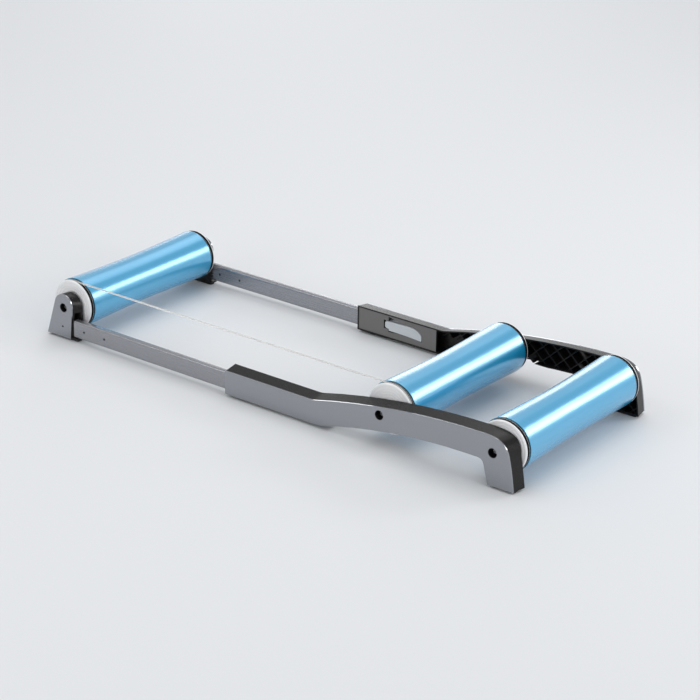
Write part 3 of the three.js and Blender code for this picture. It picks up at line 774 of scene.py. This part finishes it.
for side, sign in (("left", 1), ("right", -1)):
    rail_holes = (sign, RAIL_SEAT, RAIL_FACE, "rear", "middle")
    bracket_hole = (sign, BRACKET_SEAT, BRACKET_FACE, "front")
    refined(
        f"rail_{side}",
        RIM_RADIUS,
        in_planes(RAIL_INNER, SLEEVE_WALL, RAIL_OUTER),
        nylon,
        access_holes(*rail_holes),
        nylon_grey,
        on_sleeve_panel,
    )
    refined(
        f"rail_cover_{side}",
        RIM_RADIUS,
        in_planes(RAIL_FACE),
        paint,
        access_holes(*rail_holes),
        # The walls of the cover's access holes take the painted shade.
        painted_shade_black,
        in_hole("rear", "middle"),
    )
    refined(
        f"bracket_{side}",
        RIM_RADIUS,
        in_planes(BRACKET_INNER, BRACKET_OUTER),
        nylon,
        access_holes(*bracket_hole),
    )
    refined(
        f"bracket_cover_{side}",
        SMALL_RIM_RADIUS,
        in_planes(BRACKET_FACE),
        paint,
        access_holes(*bracket_hole),
        # The walls of the cover's access holes take the painted shade.
        painted_shade_black,
        in_hole("front"),
    )
    for name, (radius, chosen, finish) in SIMPLE_PIECES.items():
        refined(f"{name}_{side}", radius, chosen, finish)

# %% [markdown]
# ## Steel that stays as it is
# The axles, bearings and pins are small, plain and mostly hidden. They could be turned anew with
# more sides, but that would hardly show, so their solids stay and only get their finish.

# %% Steel
for node, shape in frame["nodes"].items():
    if shape.hide_render:
        continue
    shape.data.materials.clear()
    # The tube pins take the near black that paints the shade of their holes.
    shape.data.materials.append(black_steel_and_hole_shade if "tube_pin" in node else steel)
    print(node, "stays")

# %% [markdown]
# ## Floor
# The object stands on a plain pale floor, which takes a soft shadow. A studio's paper sweep curves
# up behind the object, but it would stand in the way of the views from there. So the floor is flat,
# and reaches so far that its end never comes near the object in a picture. It is nearly matt,
# because a glossy one would mirror the far side of the room as a grey band when it is seen from
# low down.

# %% Floor
FLOOR_HALF = 30
bm = bmesh.new()
bmesh.ops.create_grid(bm, x_segments=1, y_segments=1, size=FLOOR_HALF)
mesh = bpy.data.meshes.new("floor")
bm.to_mesh(mesh)
bm.free()
floor = bpy.data.objects.new("floor", mesh)
# Gives the eye smooth matt paint. Its two colours are the same, so it shows no grain.
floor_finish = surface(
    "pale_matt_floor", "e0e1e3", "e0e1e3", (0.7, 0.7), 300, 0.0, Specular_IOR_Level=0.25
)
mesh.materials.append(floor_finish)
scene.collection.objects.link(floor)
floor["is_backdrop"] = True
print("floor", 2 * FLOOR_HALF, "m across")

# %% [markdown]
# ## Light
# A pale ceiling lights a studio evenly and from everywhere above. A large lamp near the object
# would light the floor in a patch, so a sun as broad as a ceiling does it here, and gives the
# soft shadows.

# %% Ceiling
CEILING_STRENGTH = 0.62
CEILING_BREADTH = math.radians(50)
CEILING_SIDE = (0.1, -0.25, 1)
ceiling = bpy.data.objects.new("ceiling", bpy.data.lights.new("ceiling", "SUN"))
ceiling.data.energy = CEILING_STRENGTH
ceiling.data.angle = CEILING_BREADTH
ceiling.rotation_euler = Vector(CEILING_SIDE).to_track_quat("Z", "Y").to_euler()
scene.collection.objects.link(ceiling)
print("ceiling", CEILING_STRENGTH)

# %% [markdown]
# ## Softboxes
# The softboxes are there for what they do to glossy pieces. The key and the low one stand on the
# far side, and draw the long white streaks along the drums. The top and the rim one brighten the
# upper edges, and the fill and the rear one keep the covers and the legs, which face the camera,
# from going dark. Those that stand low have a grid in front, as in a studio: a narrow spread
# keeps their light on the object and off the floor below them, which would otherwise burn out to
# white.

# %% Softboxes
AIM = Vector((0, 0, 0.05))
# Each has a place and a size in metres, a power in watts and a spread in degrees.
SOFTBOXES = {
    "key": ((-1.96, -2.48, 1.3), (1.2, 0.5), 8, 120),
    "top": ((1.0, -2.4, 3.6), (2.4, 2.4), 16, 180),
    "rim": ((2.2, 1.6, 3.0), (1.0, 1.0), 10, 180),
    "low": ((3.4, -4.4, 1.2), (2.5, 0.8), 8.8, 120),
    "fill": ((0.5, 4.0, 1.2), (2.4, 1.2), 7.2, 90),
    "rear": ((-4.0, 0.3, 1.3), (2.0, 1.2), 8.2, 90),
}

for name, (place, size, power, spread) in SOFTBOXES.items():
    light = bpy.data.lights.new(name, "AREA")
    light.shape = "RECTANGLE"
    light.size, light.size_y = size
    light.energy = power
    light.spread = math.radians(spread)
    lamp = bpy.data.objects.new(name, light)
    lamp.location = place
    lamp.rotation_euler = (AIM - Vector(place)).to_track_quat("-Z", "Z").to_euler()
    lamp.visible_camera = False
    scene.collection.objects.link(lamp)
    print(name, "softbox", power, "W")

# %% [markdown]
# ## Room
# Glossy pieces mirror the room, so it isn't one flat shade. It is a pale grey, brightest at the
# horizon on the far side, and falls off towards the top and towards the near side. A picture of a
# room would put windows and corners into the gloss, so two ramps on the direction of sight do it.

# %% Room
HORIZON = "f8f9fa"
ZENITH = "c6c8ca"
NEAR_SIDE = "cccecf"
ROOM_STRENGTH = 1.0
# Each ramp has an axis, where it starts and where it is full, and the shade that it leads to.
RAMPS = (("Z", 0.0, 0.4, ZENITH), ("Y", -0.2, 0.5, NEAR_SIDE))
room = bpy.data.worlds.new("room")
room.use_nodes = True
scene.world = room
tree = room.node_tree
direction = add(tree, "ShaderNodeTexCoord").outputs["Generated"]
parts = add(tree, "ShaderNodeSeparateXYZ", {"Vector": direction}).outputs
shade = linear(HORIZON)
for axis, start, end, colour in RAMPS:
    ramp = {"Value": parts[axis], "From Min": start, "From Max": end}
    share = add(tree, "ShaderNodeMapRange", ramp, clamp=True).outputs["Result"]
    mix = {"Factor": share, MIX_A: shade, MIX_B: linear(colour)}
    shade = add(tree, "ShaderNodeMix", mix, data_type="RGBA").outputs[MIXED]
background = tree.nodes["Background"]
tree.links.new(shade, background.inputs["Color"])
background.inputs["Strength"].default_value = ROOM_STRENGTH
print("room from", HORIZON, "to", ZENITH, "and", NEAR_SIDE)

# %% [markdown]
# ## The size at the end
# The dressed object has to fill the same box as its solids, so its size is printed here.

# %% The size of the dressed object
low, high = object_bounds()
print("visual size", [round(c, 4) for c in high - low])
